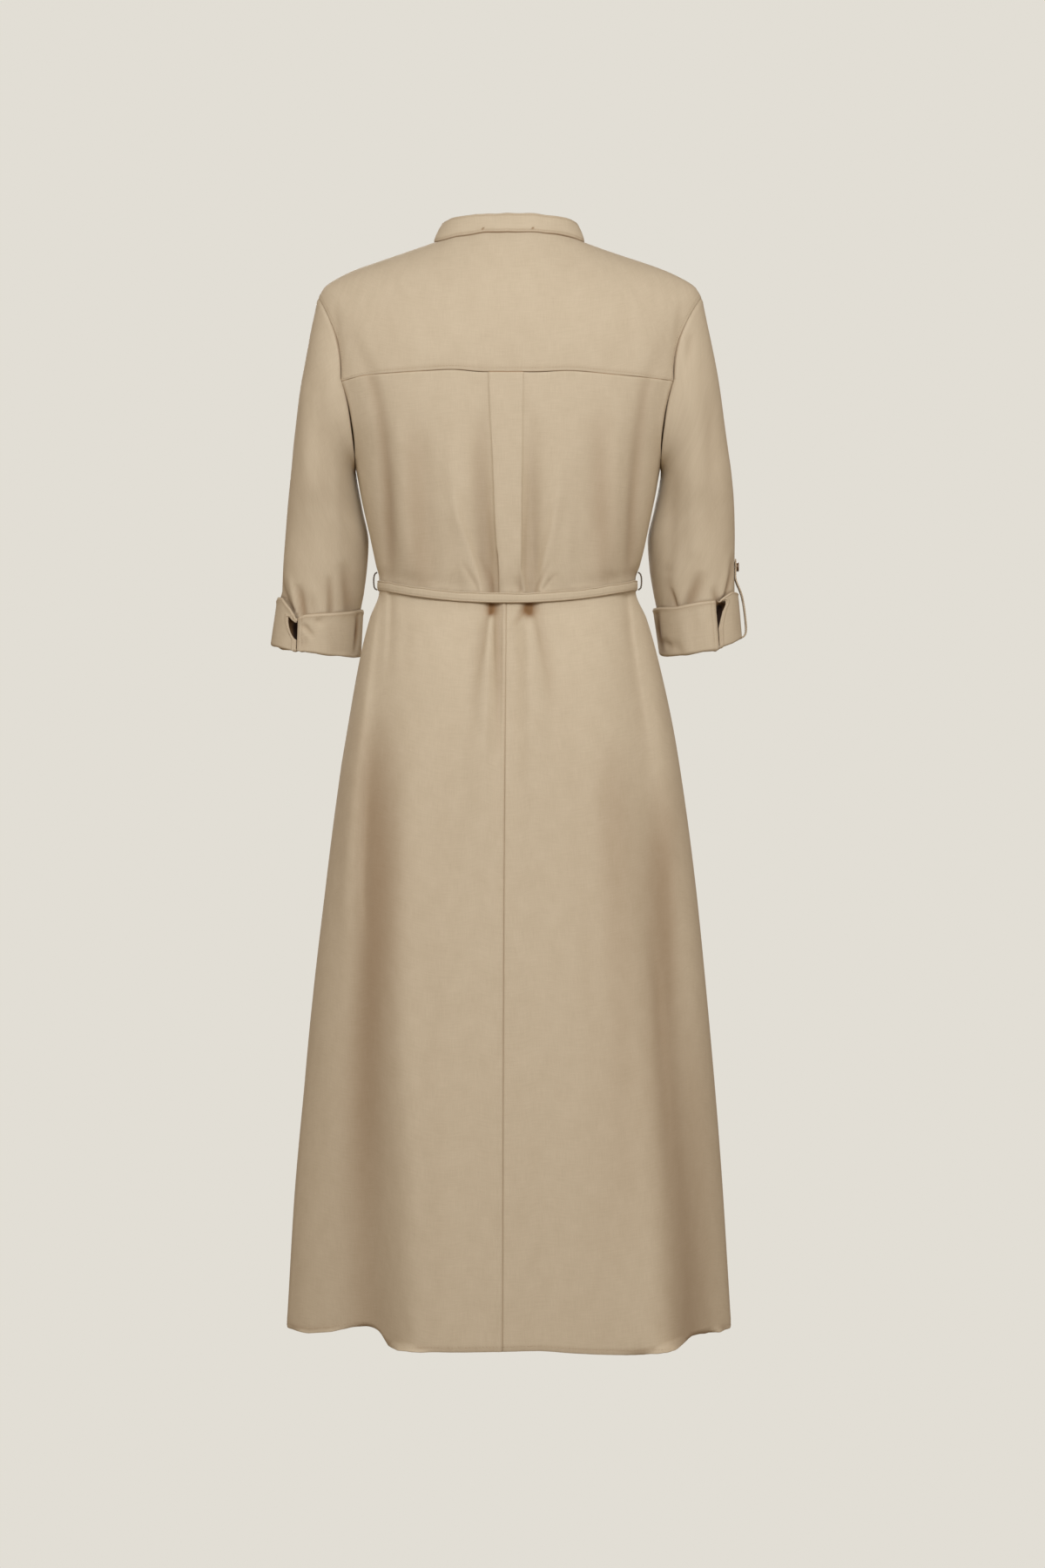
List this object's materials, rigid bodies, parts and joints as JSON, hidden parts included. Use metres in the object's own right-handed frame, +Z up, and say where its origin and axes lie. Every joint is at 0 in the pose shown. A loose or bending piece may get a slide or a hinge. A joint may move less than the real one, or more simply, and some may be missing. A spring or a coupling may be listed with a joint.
{
  "type": "shirt dress",
  "caption": "Belted midi shirt dress with a band collar, back yoke with a box pleat, rolled sleeves held by tabs, a front placket with buttons and a flared skirt.",
  "frame": {"origin": "middle of the neck opening at the height of the neck points, where the wearer's shoulders carry the dress", "axes": "+Z up, the dress's front faces -Y, the wearer's left is +X"},
  "size_m": [0.5149, 0.3483, 1.1979],
  "materials": {
    "dress_cloth": "plain-woven sand-coloured viscose blend with a soft low sheen",
    "belt_cloth": "the dress's cloth, folded and topstitched",
    "loop_thread": "twisted sewing thread",
    "buttons": "polished brown horn-like resin"
  },
  "bodies": {
    "root": {"collar": "dress_cloth", "yoke": "dress_cloth", "back_bodice": "dress_cloth", "front_bodice_left": "dress_cloth", "front_bodice_right": "dress_cloth", "back_skirt_left": "dress_cloth", "back_skirt_right": "dress_cloth", "front_skirt_left": "dress_cloth", "front_skirt_right": "dress_cloth", "placket": "dress_cloth", "sleeve_left": "dress_cloth", "sleeve_right": "dress_cloth", "cuff_left": "dress_cloth", "cuff_right": "dress_cloth", "sleeve_tab_left": "dress_cloth", "sleeve_tab_right": "dress_cloth", "belt": "belt_cloth", "belt_knot": "belt_cloth", "belt_end_left": "belt_cloth", "belt_end_right": "belt_cloth", "belt_loop_left": "loop_thread", "belt_loop_right": "loop_thread", "collar_button": "buttons", "tab_button_left": "buttons", "tab_button_right": "buttons", "front_button_01": "buttons", "front_button_02": "buttons", "front_button_03": "buttons", "front_button_04": "buttons", "front_button_05": "buttons", "front_button_06": "buttons", "front_button_07": "buttons", "front_button_08": "buttons", "front_button_09": "buttons"}
  },
  "joints": []
}
